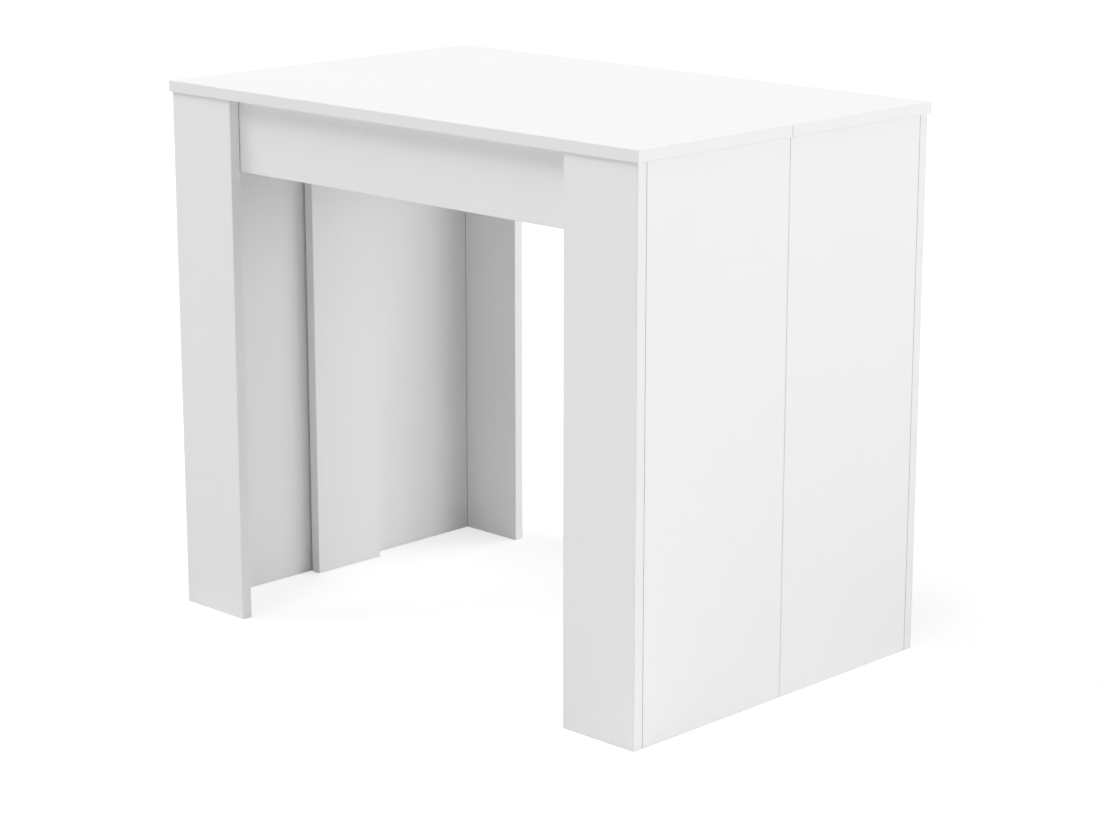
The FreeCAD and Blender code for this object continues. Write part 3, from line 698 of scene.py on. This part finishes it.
# Each kind of fastener: the node's and the piece's last words, how it is drawn and placed, its looks
plated, bare_beech = finishes["zinc_steel"], finishes["beech"]
kinds = (
    ("_cams", "_cam_locks", cam_tree(), cam_sites, CAM_LOCK, die_cast, "zinc_steel"),
    ("_cam_bolts", "_threaded_bolts", bolt_tree(), bolt_sites, CAM_BOLT, plated, "zinc_steel"),
    ("_rail_screws", "_cross_screws", screw_tree(), screw_sites, SCREW, plated, "zinc_steel"),
    ("_dowels", "_fluted_dowels", dowel_tree(), dowel_sites, DOWEL, bare_beech, "beech"),
)
for prefix, body in (("front", "front_half"), ("center", "center_frame"), ("rear", "rear_half")):
    for node_word, piece_word, tree, sites, sizes, finish, slot in kinds:
        node = prefix + node_word
        fasteners(prefix + piece_word, body, node, tree, sites(node), sizes, finish)


# Share of a ray's path that the camera sees, straight, mirrored or through glass
def seen_directly(graph):
    paths = [graph.node("ShaderNodeLightPath", None, None, word)
             for word in ("Is Camera Ray", "Is Glossy Ray", "Is Transmission Ray")]
    return graph.most(*paths)


# Floor: it lights the table as a pale floor does, keeps the table's shadow, and fades to white far off
def studio_floor():
    reach = FLOOR_REACH
    mesh = bpy.data.meshes.new("studio_floor")
    corners = [(-reach, -reach), (reach, -reach), (reach, reach), (-reach, reach)]
    mesh.from_pydata([(x, y, -FLOOR_DROP) for x, y in corners], [], [(0, 1, 2, 3)])
    material, graph = new_finish("studio_floor")
    plain = graph.node("ShaderNodeBsdfDiffuse", None, {"Color": gray(FLOOR_TONE)})
    glow = graph.node("ShaderNodeEmission", None, {"Color": gray(1.0), "Strength": FLOOR_GLOW})
    shade = graph.node("ShaderNodeBsdfDiffuse", None, {"Color": gray(FLOOR_SHADE)})
    near = graph.node("ShaderNodeAddShader", None, {0: glow, 1: shade})
    far = graph.node("ShaderNodeEmission", None, {"Color": gray(1.0), "Strength": 1.0})
    x, y, _ = graph.split(graph.place())
    fade_start, fade_end = FLOOR_FADE
    fade = (graph.calc("SQRT", x * x + y * y) - fade_start) / (fade_end - fade_start)
    fade = graph.least(graph.most(fade, 0.0), 1.0)
    above = graph.blend(seen_directly(graph), plain, graph.blend(fade, near, far))
    under = graph.node("ShaderNodeNewGeometry", None, None, "Backfacing")
    surface = graph.blend(under, above, graph.node("ShaderNodeBsdfTransparent"))
    graph.node("ShaderNodeOutputMaterial", None, {"Surface": surface})
    mesh.materials.append(material)
    show(bpy.data.objects.new("studio_floor", mesh))


# Sky: an even light all round, which the camera sees as white
def studio_sky():
    world = bpy.data.worlds.new("studio_sky")
    world.use_nodes = True
    world.node_tree.nodes.clear()
    graph = Graph(world.node_tree)
    light = graph.node("ShaderNodeBackground", None, {"Color": gray(1.0), "Strength": SKY_LEVEL})
    white = graph.node("ShaderNodeBackground", None, {"Color": gray(1.0), "Strength": 1.0})
    sky = graph.blend(seen_directly(graph), light, white)
    graph.node("ShaderNodeOutputWorld", None, {"Surface": sky})
    scene.world = world


# Direction from the table to a lamp; azimuth 0 is in front and 90 to the right
def toward(azimuth, elevation):
    turn, rise = math.radians(azimuth), math.radians(elevation)
    return Vector((math.sin(turn) * math.cos(rise), -math.cos(turn) * math.cos(rise), math.sin(rise)))


# Round softbox; a far disk of this power gives a white face square to it just its level
def softbox(name, azimuth, elevation, level):
    data = bpy.data.lights.new(name, "AREA")
    data.shape = "DISK"
    data.size = LAMP_SIZE
    data.energy = level * (math.pi * LAMP_DISTANCE) ** 2
    lamp = show(bpy.data.objects.new(name, data))
    away = toward(azimuth, elevation)
    lamp.location = (cad_low + cad_high) / 2 + away * LAMP_DISTANCE
    lamp.rotation_euler = away.to_track_quat("Z", "Y").to_euler()


def photo_camera():
    data = bpy.data.cameras.new("photo_camera")
    data.sensor_width = SENSOR_WIDTH
    data.lens = FOCAL_PIXELS / IMAGE_WIDTH * SENSOR_WIDTH
    camera = show(bpy.data.objects.new("photo_camera", data))
    camera.location = CAMERA_PLACE
    tilt, turn = math.radians(90.0 - CAMERA_ELEVATION), math.radians(CAMERA_AZIMUTH)
    camera.rotation_euler = Euler((tilt, 0.0, turn))
    scene.camera = camera


studio_floor()
studio_sky()
for name, setting in LAMPS.items():
    softbox(name, **setting)
photo_camera()
scene.view_settings.view_transform = "Standard"
